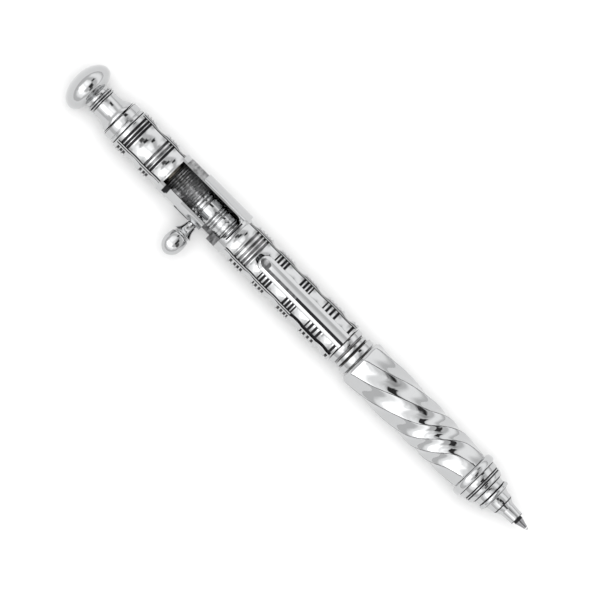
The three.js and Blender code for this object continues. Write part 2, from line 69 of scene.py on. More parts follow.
def deselect():
    if bpy.context.object and bpy.context.object.mode != "OBJECT":
        bpy.ops.object.mode_set(mode="OBJECT")
    bpy.ops.object.select_all(action="DESELECT")


def select(piece):
    deselect()
    piece.select_set(True)
    bpy.context.view_layer.objects.active = piece


def apply_modifier(piece, kind, **settings):
    """Adds a modifier with these settings and applies it."""
    select(piece)
    modifier = piece.modifiers.new(kind.title(), kind)
    for key, value in settings.items():
        setattr(modifier, key, value)
    bpy.ops.object.modifier_apply(modifier=modifier.name)


def finish_edges(piece, width=0.06, angle=32, segments=2, material=-1):
    """Breaks the sharp edges by a bevel of this width in mm and smooths what is left."""
    apply_modifier(piece, "BEVEL", width=width * MM, segments=segments, limit_method="ANGLE",
                   angle_limit=math.radians(angle), material=material)
    select(piece)
    bpy.ops.object.shade_smooth_by_angle(angle=math.radians(angle))


def smooth_stations(points, steps=5):
    """A smooth profile through stations of (mm along the pen, mm radius)."""
    padded = [points[0], *points, points[-1]]
    stations = []
    for before, start, end, after in zip(padded, padded[1:], padded[2:], padded[3:]):
        for step in range(steps):
            t = step / steps
            stations.append(tuple(
                0.5 * (2 * b + (c - a) * t + (2 * a - 5 * b + 4 * c - d) * t ** 2
                       + (3 * b - a - 3 * c + d) * t ** 3)
                for a, b, c, d in zip(before, start, end, after)))
    stations.append(points[-1])
    return stations


def turn(name, stations, sides=96):
    """Turns a piece: a disc is extruded and scaled from station to station, or an open ring
    is, and then welded shut, where the last station is the first."""
    deselect()
    closed = stations[0] == stations[-1]
    along, radius = stations[0]
    bpy.ops.mesh.primitive_circle_add(vertices=sides, radius=radius * MM,
                                      fill_type="NOTHING" if closed else "NGON",
                                      location=(along * MM, 0, 0), rotation=(0, RIGHT, 0))
    piece = bpy.context.object
    piece.name = name
    bpy.ops.object.transform_apply(location=True, rotation=True, scale=True)
    bpy.ops.object.mode_set(mode="EDIT")
    bpy.ops.mesh.select_all(action="SELECT")
    extrude = bpy.ops.mesh.extrude_edges_move if closed else bpy.ops.mesh.extrude_region_move
    for (x0, r0), (x1, r1) in zip(stations, stations[1:]):
        extrude(TRANSFORM_OT_translate={"value": ((x1 - x0) * MM, 0, 0)})
        bpy.ops.transform.resize(value=(1, r1 / r0, r1 / r0), center_override=(x1 * MM, 0, 0))
    bpy.ops.mesh.select_all(action="SELECT")
    if closed:
        bpy.ops.mesh.remove_doubles(threshold=1e-7)
    bpy.ops.mesh.normals_make_consistent(inside=False)
    bpy.ops.object.mode_set(mode="OBJECT")
    return piece


def turn_bored(name, outside, bore, sides=96):
    """A turned ring: the outside's stations, closed by a bore of this radius."""
    start, end = outside[0][0], outside[-1][0]
    return turn(name, [(start, bore), *outside, (end, bore), (start, bore)], sides)


def metal(name, color, rough_low, rough_high, relief=0.01, grain=(1, 1, 1), grain_size=900,
          shade=0.92):
    """Metal with a slight unevenness in its shine and tint, and fine marks of the tool."""
    material = bpy.data.materials.new(name)
    material.use_nodes = True
    nodes, links = material.node_tree.nodes, material.node_tree.links
    shader = nodes["Principled BSDF"]
    shader.inputs["Metallic"].default_value = 1.0
    place = nodes.new("ShaderNodeTexCoord")
    stretch = nodes.new("ShaderNodeMapping")
    stretch.inputs["Scale"].default_value = grain
    links.new(place.outputs["Object"], stretch.inputs["Vector"])
    cloud = nodes.new("ShaderNodeTexNoise")
    cloud.inputs["Scale"].default_value = 220
    cloud.inputs["Detail"].default_value = 3
    links.new(stretch.outputs["Vector"], cloud.inputs["Vector"])
    patches = nodes.new("ShaderNodeMapRange")
    patches.inputs["From Min"].default_value = 0.35
    patches.inputs["From Max"].default_value = 0.65
    links.new(cloud.outputs["Fac"], patches.inputs["Value"])
    shine = nodes.new("ShaderNodeMapRange")
    shine.inputs["To Min"].default_value = rough_low
    shine.inputs["To Max"].default_value = rough_high
    links.new(patches.outputs["Result"], shine.inputs["Value"])
    links.new(shine.outputs["Result"], shader.inputs["Roughness"])
    tint = nodes.new("ShaderNodeMix")
    tint.data_type = "RGBA"
    tint.inputs["A"].default_value = (*color, 1)
    tint.inputs["B"].default_value = (*(channel * shade for channel in color), 1)
    links.new(patches.outputs["Result"], tint.inputs["Factor"])
    links.new(tint.outputs["Result"], shader.inputs["Base Color"])
    fine = nodes.new("ShaderNodeTexNoise")
    fine.inputs["Scale"].default_value = grain_size
    fine.inputs["Detail"].default_value = 2
    links.new(stretch.outputs["Vector"], fine.inputs["Vector"])
    bump = nodes.new("ShaderNodeBump")
    bump.inputs["Strength"].default_value = 0.25
    bump.inputs["Distance"].default_value = relief * MM
    links.new(fine.outputs["Fac"], bump.inputs["Height"])
    links.new(bump.outputs["Normal"], shader.inputs["Normal"])
    return material


def dress(piece, material, body, slot, *nodes):
    """Gives a finished piece its body and the CAD nodes that it stands for. The slot is not used.
    """
    if not piece.data.materials:
        piece.data.materials.append(material)
    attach(piece, body)
    if nodes:
        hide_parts(*nodes)


chrome = metal("polished chrome", (0.5, 0.505, 0.51), 0.02, 0.07, shade=0.97)

knob_radius, knob_crown, flat_radius = 6.25, 3.8, 1.5
crown_steps = 24
stud_bore = 1.7
flat = math.asin(flat_radius / knob_radius)
knob = [(0.0, flat_radius)]
for step in range(1, crown_steps + 1):
    lean = flat + (RIGHT - flat) * step / crown_steps
    rise = math.cos(flat) - math.cos(lean)
    knob.append((knob_crown * rise / math.cos(flat), knob_radius * math.sin(lean)))
knob += smooth_stations([(knob_crown, knob_radius), (4.6, 6.05), (5.2, 5.6), (5.7, 4.9),
                         (6.05, 4.15)], 6)[1:]
knob += smooth_stations([(6.12, 3.75), (6.3, 3.4), (6.6, 3.2), (7.1, 3.2)], 5)
finial_knob = turn("knob_plated", knob + [(7.1, stud_bore), (3.9, stud_bore)], 128)
finish_edges(finial_knob)
dress(finial_knob, chrome, "casing", "polished_chrome", "finial_knob")


# Bead: a separate turned brass ring with one groove, chrome-plated and threaded
# onto the finial's stud between knob and flare. Its groove and end faces are
# coloured grey as painted shade.
def pick(piece, kind, test):
    """Selects, in edit mode, the faces or edges whose centre in mm passes the test."""
    select(piece)
    bpy.ops.object.mode_set(mode="EDIT")
    bpy.ops.mesh.select_mode(type=kind)
    bpy.ops.mesh.select_all(action="DESELECT")
    bpy.ops.object.mode_set(mode="OBJECT")
    points = [vertex.co / MM for vertex in piece.data.vertices]
    for item in piece.data.polygons if kind == "FACE" else piece.data.edges:
        corners = [points[index] for index in item.vertices]
        item.select = test(*(sum(axis) / len(corners) for axis in zip(*corners)))
    bpy.ops.object.mode_set(mode="EDIT")


def assign(piece, material_slot):
    """Gives the picked faces the material in this slot of the piece."""
    piece.active_material_index = material_slot
    bpy.ops.object.material_slot_assign()


def blacken(piece, test, material=None):
    """Colours the faces that pass the test black, mostly as painted shade, or gives them another
    given material.
    """
    if not piece.data.materials:
        piece.data.materials.append(chrome)
    piece.data.materials.append(material or black_shade_and_shank)
    pick(piece, "FACE", test)
    assign(piece, len(piece.data.materials) - 1)
    bpy.ops.object.mode_set(mode="OBJECT")


# Black painted shade for gaps, grooves and slot floors; on the refill nose it colours the shank.
black_shade_and_shank = metal("black painted shade and nose shank", (0.03, 0.03, 0.032), 0.4, 0.65)
# Grey painted shade, streaked like milling marks, for walls of slots and pockets, grooves, gaps,
# the clip's dish and the barrel's ridges.
grey_shade = metal("grey painted shade, streaked", (0.24, 0.24, 0.245), 0.2, 0.55, relief=0.3, grain=(6, 2, 2),
             grain_size=500, shade=0.25)
bead = smooth_stations([(7.24, 3.15), (7.38, 3.5), (7.58, 3.66), (7.74, 3.5)], 4)
bead += smooth_stations([(7.82, 3.15), (7.92, 3.15), (8.02, 3.5), (8.2, 3.66), (8.36, 3.5),
                         (8.46, 3.15)], 4)
finial_bead = turn_bored("bead_plated", bead, stud_bore)
finish_edges(finial_bead)
# Painted shade in the groove and at both ends.
blacken(finial_bead, lambda x, y, z: x < 7.26 or 7.76 < x < 7.98 or x > 8.42, grey_shade)
dress(finial_bead, chrome, "casing", "polished_chrome", "finial_bead")


# Flare: the trumpet-shaped neck that seats on the collar, chromed brass. Its end
# face and the collar's are coloured black as painted shade in the gap between them.
flare = smooth_stations([(8.62, 3.35), (9.2, 3.3), (10.2, 3.32), (11.2, 3.5), (12.2, 3.95),
                         (12.95, 4.4), (13.42, 4.55)], 6)
finial_flare = turn_bored("flare_plated", flare, stud_bore)
finish_edges(finial_flare)
# Painted shade: the end face at the collar is black.
blacken(finial_flare, lambda x, y, z: x > 13.41)
dress(finial_flare, chrome, "casing", "polished_chrome", "finial_flare")


# Stud: a steel screw through knob, bead, flare and collar into the end plug.
# It stays as the frame has it, in bare turned steel.
def wear(node, material):
    """Gives a CAD node that is shown as it is its material."""
    part = frame["nodes"][node]
    part.data.materials.clear()
    part.data.materials.append(material)


steel = metal("turned steel", (0.62, 0.62, 0.63), 0.18, 0.32, grain=(6, 1, 1))
wear("finial_stud", steel)


# End collar: a plain turned ring with one fine groove, chrome-plated and
# clamped between the flare and the housing.
collar = [(13.72, 4.7), (13.92, 5.0), (15.7, 5.0), (15.78, 4.8), (15.98, 4.8), (16.06, 5.0),
          (16.55, 5.0), (16.68, 4.85)]
end_collar = turn_bored("collar_plated", collar, stud_bore)
finish_edges(end_collar)
# Painted shade: both end faces are black, for the gaps at the flare and the housing.
blacken(end_collar, lambda x, y, z: x < 13.9 or x > 16.56)
dress(end_collar, chrome, "casing", "polished_chrome", "end_collar")


# End plug: threaded brass plug that closes the receiver's bore and stops the
# bolt. Only its front face shows, deep in the window.
# This brass is darkened as painted shade, so that the plug deep in the window and the couplers in
# the ring gaps read as shade.
brass = metal("brass darkened as painted shade", (0.085, 0.078, 0.067), 0.25, 0.4, grain=(4, 1, 1), shade=0.6)
wear("end_plug", brass)


# Housing: one turned and milled brass tube, plated all over. Rows of cross slots
# and the long double grooves are milled between dished waists, then window, bolt
# slot and clip pocket. The milled floors and walls are coloured black as painted
# shade, two rows of slots grey.
def box_cutter(low, high, turned=0.0):
    """A box between two corners in mm, turned by degrees about the pen's axis."""
    deselect()
    middle = [(a + b) / 2 * MM for a, b in zip(low, high)]
    bpy.ops.mesh.primitive_cube_add(size=1, location=middle,
                                    scale=[(b - a) * MM for a, b in zip(low, high)])
    cutter = bpy.context.object
    bpy.ops.object.transform_apply(location=True, rotation=True, scale=True)
    cutter.rotation_euler.x = math.radians(turned)
    return cutter


def cut(piece, cutter, operation="DIFFERENCE", lining=None):
    """Cuts or joins another solid. A lining is the material that the cut walls get."""
    if lining:
        cutter.data.materials.append(lining)
    bpy.context.view_layer.update()
    apply_modifier(piece, "BOOLEAN", object=cutter, operation=operation, solver="EXACT",
                   material_mode="TRANSFER" if lining else "INDEX")
    bpy.data.objects.remove(cutter)


# The bore's rough grey is darker than bare metal as painted shade; the same grey is painted shade
# in the bolt's grooves, on the lip and on a flat.
bore_and_pale_shade = metal("threaded bore and pale painted shade", (0.36, 0.36, 0.365), 0.12, 0.45, relief=0.3, grain=(6, 2, 2),
              grain_size=500, shade=0.4)
housing_start, housing_end = 16.82, 85.68
housing_radius, end_radius, edge = 5.4, 5.25, 0.15
housing_bore, coupler_bore, coupler_seat = 3.4, 4.1, 77.4
waists = [(22.47, 3.9), (29.17, 3.2), (52.4, 3.0), (59.6, 3.2), (67.1, 4.1), (74.5, 3.9),
          (82.5, 3.2)]
waist_depth = 0.6
waist_rows = 6
slots = [18.16, 19.07, 19.86, 25.31, 26.33, 27.13, 54.4, 55.6, 56.55, 57.5, 61.5, 62.35, 63.45,
         64.35, 69.5, 70.48, 71.45, 72.25, 76.75, 77.8, 79.0, 80.24, 84.78]
slot_half = 0.3
narrow_slots, narrow_half = (61.5, 72.25, 76.75), 0.18
slot_depth = 0.36
grooves = [(17.2, 30.6), (51.6, 85.4)]
groove_gap = 7.5
lip_end = 51.1
places = [grooves[0][0], lip_end, grooves[1][1]]
for centre, width in waists:
    places += [centre + row / waist_rows * width / 2 for row in range(-waist_rows, waist_rows + 1)]
for centre in slots:
    half = narrow_half if centre in narrow_slots else slot_half
    places += [centre - half, centre + half]
outside = [(housing_start, end_radius), (housing_start + edge, housing_radius)]
outside += [(place, housing_radius) for place in sorted({round(place, 3) for place in places})]
outside += [(housing_end - edge, housing_radius), (housing_end, end_radius)]
pitch, thread_start, thread_turns, thread_radius = 0.6, 50.4, 32, 3.31
thread = []
for thread_turn in range(thread_turns):
    thread += [(thread_start - thread_turn * pitch, housing_bore),
               (thread_start - pitch / 2 - thread_turn * pitch, thread_radius)]
housing_sides = 96
facet = 360 / housing_sides
housing = turn("housing_engraved", [
    (housing_start, housing_bore), *outside, (housing_end, coupler_bore),
    (coupler_seat, coupler_bore), (coupler_seat, housing_bore), *thread,
    (housing_start, housing_bore)], housing_sides)
select(housing)
housing.rotation_euler.x = math.radians(facet / 2)
bpy.ops.object.transform_apply(location=True, rotation=True, scale=True)
for material in (chrome, black_shade_and_shank, bore_and_pale_shade, grey_shade):
    housing.data.materials.append(material)
black_shade_slot, bore_shade_slot, grey_shade_slot = 1, 2, 3


def lean_of(y, z):
    """Degrees from the middle of the top or bottom panel, 0 to 90."""
    lean = abs(math.degrees(math.atan2(y, z)))
    return min(lean, 180 - lean)


# The waists are pressed in row by row, deepest in the middle of each panel.
panel_edge = 48.75
for row in range(waist_rows):
    places = [centre + side * row / waist_rows * width / 2
              for centre, width in waists for side in (-1, 1)]
    depth = waist_depth * (1 - (row / waist_rows) ** 2)
    for column in range(housing_sides // 4):
        lean = facet / 2 + column * facet
        share_of_panel = lean / panel_edge if lean < panel_edge else (90 - lean) / (90 - panel_edge)
        bpy.ops.object.mode_set(mode="EDIT")
        bpy.ops.mesh.select_mode(type="VERT")
        bpy.ops.mesh.select_all(action="DESELECT")
        bpy.ops.object.mode_set(mode="OBJECT")
        for vertex in housing.data.vertices:
            x, y, z = vertex.co / MM
            if math.hypot(y, z) > 4.7 and abs(lean_of(y, z) - lean) < 1:
                vertex.select = any(abs(x - place) < 0.01 for place in places)
        bpy.ops.object.mode_set(mode="EDIT")
        share = 1 - depth / housing_radius * math.cos(RIGHT * share_of_panel) ** 0.6
        bpy.ops.transform.resize(value=(1, share, share), center_override=(0, 0, 0))
bpy.ops.object.mode_set(mode="OBJECT")


def milled(x, y, z):
    """True on the faces of the outside that are floors of cross slots or long grooves."""
    if math.hypot(y, z) < 4.5:
        return False
    past_edge = lean_of(y, z) - (49 if y > 0 else 45)
    in_slot = any(abs(x - centre) < 0.05 for centre in slots) and not -2 < past_edge < 13
    in_pair = min(abs(past_edge), abs(past_edge - groove_gap)) < 1
    in_groove = any(start < x < end for start, end in grooves) and in_pair
    # A wide groove along one diagonal near the front end, coloured black, stands in for a band of
    # shadow.
    in_shadow_groove = 72.6 < x < grooves[1][1] and -1 < past_edge < groove_gap + 1 and y < 0 < z
    return in_slot or in_groove or in_shadow_groove


pick(housing, "FACE", milled)
bpy.ops.mesh.extrude_region_shrink_fatten(TRANSFORM_OT_shrink_fatten={"value": -slot_depth * MM})
bpy.ops.mesh.select_more()
# Painted shade: the floors and walls of slots and grooves are black.
assign(housing, black_shade_slot)
# The bore is grey, in part as painted shade.
pick(housing, "FACE", lambda x, y, z: math.hypot(y, z) < 3.45)
assign(housing, bore_shade_slot)
# Painted shade: the slots of two groups are grey instead.
pick(housing, "FACE", lambda x, y, z: (24 < x < 27 or 54 < x < 58)
     and 4.7 < math.hypot(y, z) < 5.3 and lean_of(y, z) < 43)
assign(housing, grey_shade_slot)
bpy.ops.object.mode_set(mode="OBJECT")
finish_edges(housing, width=0.04, angle=40, segments=1)

# The window, with rounded front corners, widens towards the outside.
window_start, window_end, window_half, window_top = 31.0, 50.1, 3.2, 4.05
window = box_cutter((window_start, -window_half, 0), (window_end, window_half, window_top))
pick(window, "EDGE", lambda x, y, z: x > 50 and abs(y) > 3.1 and abs(z - window_top / 2) < 0.1)
bpy.ops.mesh.bevel(offset=1.9 * MM, segments=12, affect="EDGES")
pick(window, "FACE", lambda x, y, z: z > window_top - 0.01)
bpy.ops.mesh.extrude_region_move(TRANSFORM_OT_translate={"value": (0, 0, 3 * MM)})
bpy.ops.transform.resize(value=(1, 6.2 / window_half, 1),
                         center_override=(40.55 * MM, 0, (window_top + 3) * MM))
bpy.ops.object.mode_set(mode="OBJECT")
cut(housing, window)

# The handle's slot, its open front and the two pockets that lock the handle.
slot_half_width = 1.43
bolt_slot = box_cutter((33.57, -9, -slot_half_width), (49.3, -2, slot_half_width))
pick(bolt_slot, "EDGE", lambda x, y, z: x < 33.6 and abs(z) > 1.4)
bpy.ops.mesh.bevel(offset=0.5 * MM, segments=5, affect="EDGES")
bpy.ops.object.mode_set(mode="OBJECT")
# The slot's and the pockets' cut walls are lined grey as painted shade.
cut(housing, bolt_slot, lining=grey_shade)
cut(housing, box_cutter((44.4, -9, 0), (49.3, -1.6, 9)))
for pocket_start, pocket_end in ((33.57, 36.43), (40.97, 46.83)):
    for turned in (14, 28):
        cut(housing, box_cutter((pocket_start, -9, -slot_half_width),
                                (pocket_end, -2, slot_half_width), turned), lining=grey_shade)

# A notch and two milled flats beside the window's rear end, and the clip's pocket.
# The notch is lined black and the flat grey, as painted shade.
cut(housing, box_cutter((31.97, -9, 2.2), (33.37, -1.6, 9)), lining=black_shade_and_shank)
cut(housing, box_cutter((33.0, -2.3, 5.08), (37.25, 2.3, 9), 57))
cut(housing, box_cutter((32.0, -2.3, 4.98), (37.25, 2.3, 9), -57), lining=bore_and_pale_shade)
cut(housing, box_cutter((59.4, -1.2, 3), (61.4, 1.2, 9)))
select(housing)
bpy.ops.object.shade_smooth_by_angle(angle=math.radians(24))
dress(housing, chrome, "casing", "polished_chrome", "housing")


# Receiver lip: the raised rim along the window's far side and round its front
# corner, left standing when the receiver's side was milled flat.
def lip_sector(name, start, end, from_angle, to_angle):
    """A part of a ring between two places along the pen and two angles round it."""
    inner, outer = 5.2, 5.82
    piece = turn(name, [(start, inner), (start, outer), (start + 0.42, outer), (end, outer),
                        (end, inner), (start, inner)], 192)
    bpy.ops.object.mode_set(mode="EDIT")
    for angle, side in ((from_angle, 1), (to_angle, -1)):
        lean = math.radians(angle)
        bpy.ops.mesh.select_all(action="SELECT")
        bpy.ops.mesh.bisect(plane_co=(0, 0, 0), use_fill=True, clear_inner=True,
                            plane_no=(0, side * math.cos(lean), -side * math.sin(lean)))
    bpy.ops.object.mode_set(mode="OBJECT")
    return piece


lip = lip_sector("receiver_lip", 37.3, lip_end, 40, 84)
cut(lip, lip_sector("lip_front", 50.15, lip_end, -34, 41), "UNION")
finish_edges(lip, width=0.28, angle=50, segments=4)
# Painted shade: the rear face of the lip's front part is black and the top just ahead of it grey.
blacken(lip, lambda x, y, z: 50 < x < 50.56 and abs(y) < 2.6 and z > 5)
blacken(lip, lambda x, y, z: 50.56 < x < 51 and abs(y) < 2.4 and z > 5.6, bore_and_pale_shade)
dress(lip, chrome, "casing", "polished_chrome")


# Bolt: a ringed and grooved sleeve, chrome-plated steel, that turns on the
# pusher pin. Its cross hole takes the handle's spigot.
bolt_profile = [
    (39.84, 2.75), (39.95, 3.0), (40.35, 3.0), (40.45, 2.75), (40.7, 2.7), (40.8, 2.98),
    (41.35, 2.98), (41.45, 2.6), (41.85, 2.6), (41.95, 3.0), (44.5, 3.0), (44.6, 2.7), (44.85, 2.7),
    (44.95, 3.0), (45.25, 3.0), (45.35, 2.7), (45.55, 2.7), (45.65, 3.0), (45.95, 3.0),
    (46.05, 2.65), (46.3, 2.65), (46.4, 2.95), (47.55, 2.95), (47.62, 2.8), (47.72, 2.8),
    (47.8, 2.95), (48.55, 2.95), (48.65, 2.6), (48.8, 2.6), (48.9, 3.0), (49.1, 3.0), (49.2, 2.55),
    (49.55, 2.55), (49.65, 2.95), (49.9, 2.95), (50.06, 2.8)]
bolt = turn_bored("bolt_ringed", bolt_profile, 1.15)
handle_place, spigot_bore = 42.4, 1.05
bpy.ops.mesh.primitive_cylinder_add(radius=spigot_bore * MM, depth=6 * MM,
                                    rotation=(RIGHT, 0, 0),
                                    location=(handle_place * MM, -3 * MM, 0))
cut(bolt, bpy.context.object)
finish_edges(bolt, width=0.04, angle=40)
# Painted shade: the floors of the bolt's grooves are grey.
blacken(bolt, lambda x, y, z: 40.3 < x < 49.7 and 2.4 < math.hypot(y, z) < 2.78, bore_and_pale_shade)
dress(bolt, chrome, "bolt", "polished_chrome", "bolt")


# Pusher pin: turned steel, headed behind the bolt, with the disc that pushes
# the refill. It stays as the frame has it.
wear("pusher_pin", steel)


# Handle: stem, skirt, ring and knob on one spigot, all turned and chrome-plated.
# They leave the bolt through its side slot.
def lay_along_handle(piece):
    """Lays a piece turned along +X on the handle's line, which leaves along -Y."""
    select(piece)
    piece.rotation_euler.z = -RIGHT
    piece.location.x = handle_place * MM
    bpy.ops.object.transform_apply(location=True, rotation=True, scale=True)
    finish_edges(piece, width=0.04)


wear("handle_stem", chrome)
skirt = turn_bored("handle_skirt_plated", smooth_stations(
    [(5.66, 1.3), (6.2, 1.36), (6.9, 1.52), (7.6, 1.85), (8.1, 2.28), (8.28, 2.4)], 5),
    spigot_bore, 64)
lay_along_handle(skirt)
dress(skirt, chrome, "bolt", "polished_chrome", "handle_skirt")
handle_ring = turn_bored("handle_ring_plated", [
    (8.42, 1.85), (8.5, 2.02), (8.6, 2.02), (8.78, 1.9)], spigot_bore, 64)
lay_along_handle(handle_ring)
dress(handle_ring, chrome, "bolt", "polished_chrome", "handle_ring")
egg_start = 8.92
egg = smooth_stations([(egg_start, 2.1), (9.15, 2.3), (9.9, 2.47), (10.8, 2.55), (11.7, 2.52),
                       (12.6, 2.27), (13.4, 1.75), (13.95, 1.08), (14.2, 0.48), (14.27, 0.12)], 6)
handle_knob = turn("handle_knob_plated", [
    (12.0, spigot_bore), (egg_start, spigot_bore), *egg], 64)
lay_along_handle(handle_knob)
dress(handle_knob, chrome, "bolt", "polished_chrome", "handle_knob")


# Clip: a bevelled bar of plated spring steel. Its rear end is a rounded, dished
# ramp over the tang that is pinned in the housing.
taper_end, clip_end = 88, 85.7
levels = [(5.5, 58.7, 2.0), (5.78, 58.95, 1.93), (6.08, 59.2, 1.15),
          (6.72, 59.7, 0.45), (6.75, 59.75, 0.42)]
clip = box_cutter((58.7, -2.0, 4.0), (taper_end, 2.0, 5.5))
clip.name = "clip_bar"
pick(clip, "EDGE", lambda x, y, z: x < 58.8 and abs(y) > 1.9)
bpy.ops.mesh.bevel(offset=1.98 * MM, segments=14, affect="EDGES")
pick(clip, "FACE", lambda x, y, z: z > 5.49)
for (z0, rear0, half0), (z1, rear1, half1) in zip(levels, levels[1:]):
    bpy.ops.mesh.extrude_region_move(TRANSFORM_OT_translate={"value": (0, 0, (z1 - z0) * MM)})
    bpy.ops.transform.resize(
        value=((taper_end - rear1) / (taper_end - rear0), half1 / half0, 1),
        center_override=(taper_end * MM, 0, z1 * MM))
bpy.ops.mesh.select_all(action="SELECT")
bpy.ops.mesh.bisect(plane_co=(clip_end * MM, 0, 0), plane_no=(-1, 0, 0), use_fill=True,
                    clear_inner=True)
black_shade_start = 71
bpy.ops.mesh.select_all(action="SELECT")
bpy.ops.mesh.bisect(plane_co=(black_shade_start * MM, 0, 0), plane_no=(1, 0, 0))
bpy.ops.object.mode_set(mode="OBJECT")
cut(clip, turn("clip_clearance", [(50, 5.7), (90, 5.7)], 192))
deselect()
bpy.ops.mesh.primitive_uv_sphere_add(segments=64, ring_count=32, radius=2.6 * MM,
                                     location=(60.0 * MM, 0, 8.55 * MM))
clip.data.materials.append(chrome)
# The dish is lined grey as painted shade.
cut(clip, bpy.context.object, lining=grey_shade)
cut(clip, box_cutter((59.7, -0.9, 4.2), (61.1, 0.9, 5.88)), "UNION")
finish_edges(clip, width=0.05, angle=20)
# Painted shade: a line along one flank of the clip's top, black towards the free end and grey
# towards the root.
blacken(clip, lambda x, y, z: -1.1 < y < -0.5 and 6.1 < z < 6.7 and x > black_shade_start)
blacken(clip, lambda x, y, z: -1.1 < y < -0.5 and 6.1 < z < 6.7 and 60 < x < black_shade_start, grey_shade)
# Painted shade: the rear end's lower edge is grey, outlining it against the housing.
blacken(clip, lambda x, y, z: x < 60.4 and 5.4 < z < 5.8 and abs(y) > 0.1, grey_shade)
dress(clip, chrome, "clip", "polished_chrome", "clip")


# Coupler: threaded brass tube inside the centre rings, which the lower barrel
# screws onto. It stays as the frame has it.
# Its darkened brass is painted shade in the gaps between the rings.
wear("coupler", brass)


# Centre rings: three loose turned rings, chrome-plated, between housing and
# lower barrel. Each has a lower lip on its front side, coloured dark as painted
# shade in the gap.
for name, node, profile, gap_shade in (
        ("ring_rear_plated", "centre_ring_rear", [
            (85.84, 4.62), (85.98, 4.88), (87.2, 4.8), (87.32, 4.62), (87.32, 4.28),
            (87.68, 4.28)], grey_shade),
        ("ring_middle_plated", "centre_ring_middle", [
            (87.84, 4.4), (87.95, 4.54), (88.6, 4.54), (88.72, 4.4), (88.72, 4.25),
            (88.98, 4.25)], black_shade_and_shank),
        ("ring_front_plated", "centre_ring_front", [
            (89.14, 4.65), (89.3, 4.95), (90.6, 4.95), (90.76, 4.75), (90.76, 4.28),
            (90.98, 4.28)], grey_shade)):
    ring = turn_bored(name, profile, coupler_bore)
    finish_edges(ring, width=0.04)
    blacken(ring, lambda x, y, z: 4.15 < math.hypot(y, z) < 4.4, gap_shade)
    dress(ring, chrome, "casing", "polished_chrome", node)


# Lower barrel: a fluted brass bar whose eight sharp ridges run straight at first
# and then wind round, forged and then polished and chrome-plated.
barrel_start, barrel_length = 91.12, 35.46
flutes, per_flute = 8, 12
flute_depth, ridge_radius, taper, chamfer = 0.48, 5.95, 0.8, 0.7
rear_radius, rear_shoulder, front_shoulder, front_radius = 5.3, 5.93, 5.17, 5.08
twist_path = smooth_stations([(0, 42), (0.17, 25), (0.34, 0), (0.51, -26), (0.59, -45),
                              (0.72, -90), (0.86, -135), (1, -152)], 9)
deselect()
bpy.ops.mesh.primitive_circle_add(vertices=flutes * per_flute, radius=rear_radius * MM,
                                  fill_type="NGON", location=(barrel_start * MM, 0, 0),
                                  rotation=(0, RIGHT, 0))
barrel = bpy.context.object
barrel.name = "barrel_twisted"
bpy.ops.object.transform_apply(location=True, rotation=True, scale=True)
barrel.rotation_euler.x = math.radians(twist_path[0][1])
bpy.ops.object.transform_apply(location=True, rotation=True, scale=True)
for spoke in range(1, per_flute // 2 + 1):
    bpy.ops.object.mode_set(mode="EDIT")
    bpy.ops.mesh.select_mode(type="VERT")
    bpy.ops.mesh.select_all(action="DESELECT")
    bpy.ops.object.mode_set(mode="OBJECT")
    for index, vertex in enumerate(barrel.data.vertices):
        vertex.select = index % per_flute in (spoke, per_flute - spoke)
    bpy.ops.object.mode_set(mode="EDIT")
    share = 1 - flute_depth / ridge_radius * math.sin(math.pi * spoke / per_flute)
    bpy.ops.transform.resize(value=(1, share, share), center_override=(barrel_start * MM, 0, 0))
bpy.ops.mesh.select_mode(type="FACE")
bpy.ops.mesh.select_all(action="SELECT")
rows = [(0, rear_radius, twist_path[0][1]),
        (chamfer / barrel_length, rear_shoulder, twist_path[0][1])]
for share, angle in twist_path:
    if chamfer * 1.4 < share * barrel_length < barrel_length - chamfer * 1.4:
        rows.append((share, ridge_radius - taper * share ** 1.3, angle))
rows += [(1 - chamfer / barrel_length, front_shoulder, twist_path[-1][1]),
         (1, front_radius, twist_path[-1][1])]
for (s0, r0, a0), (s1, r1, a1) in zip(rows, rows[1:]):
    bpy.ops.mesh.extrude_region_move(
        TRANSFORM_OT_translate={"value": ((s1 - s0) * barrel_length * MM, 0, 0)})
    middle = ((barrel_start + s1 * barrel_length) * MM, 0, 0)
    bpy.ops.transform.resize(value=(1, r1 / r0, r1 / r0), center_override=middle)
    bpy.ops.transform.rotate(value=-math.radians(a1 - a0), orient_axis="X",
                             center_override=middle)
bpy.ops.mesh.select_all(action="SELECT")
bpy.ops.mesh.normals_make_consistent(inside=False)
bpy.ops.object.mode_set(mode="OBJECT")
cut(barrel, turn("barrel_bore", [(80, coupler_bore), (140, coupler_bore)]))
for material in (chrome, grey_shade):
    barrel.data.materials.append(material)
plated_slot, ridge_shade_slot = 0, 1
# Painted shade: the bevels along the ridges are grey, which draws each ridge as a dark line; the
# ends keep plain plating.
finish_edges(barrel, width=0.1, angle=17, material=ridge_shade_slot)
pick(barrel, "FACE", lambda x, y, z: x < 92 or x > 125.6)
assign(barrel, plated_slot)
bpy.ops.object.mode_set(mode="OBJECT")
dress(barrel, chrome, "lower_barrel", "polished_chrome", "twisted_barrel")


# Barrel tube: brass lining with the thread that the barrel turns on. It is
# hidden and stays as the frame has it.
wear("barrel_tube", brass)


# Nib bead: the rounded brass ring between lower barrel and nib, turned and
# chrome-plated, held by the nib's thread.
nib_bead = turn_bored("nib_bead_plated", smooth_stations([
    (126.66, 5.3), (126.86, 5.72), (127.3, 5.93), (127.7, 5.97), (128.1, 5.92), (128.45, 5.77),
    (128.68, 5.45)], 5), coupler_bore)
finish_edges(nib_bead, width=0.04)
dress(nib_bead, chrome, "lower_barrel", "polished_chrome", "nib_bead")


# Nib coupler: threaded brass tube that joins barrel and nib. It is hidden and
# stays as the frame has it.
# Its darkened brass is painted shade in the gaps at the nib bead.
wear("nib_coupler", brass)


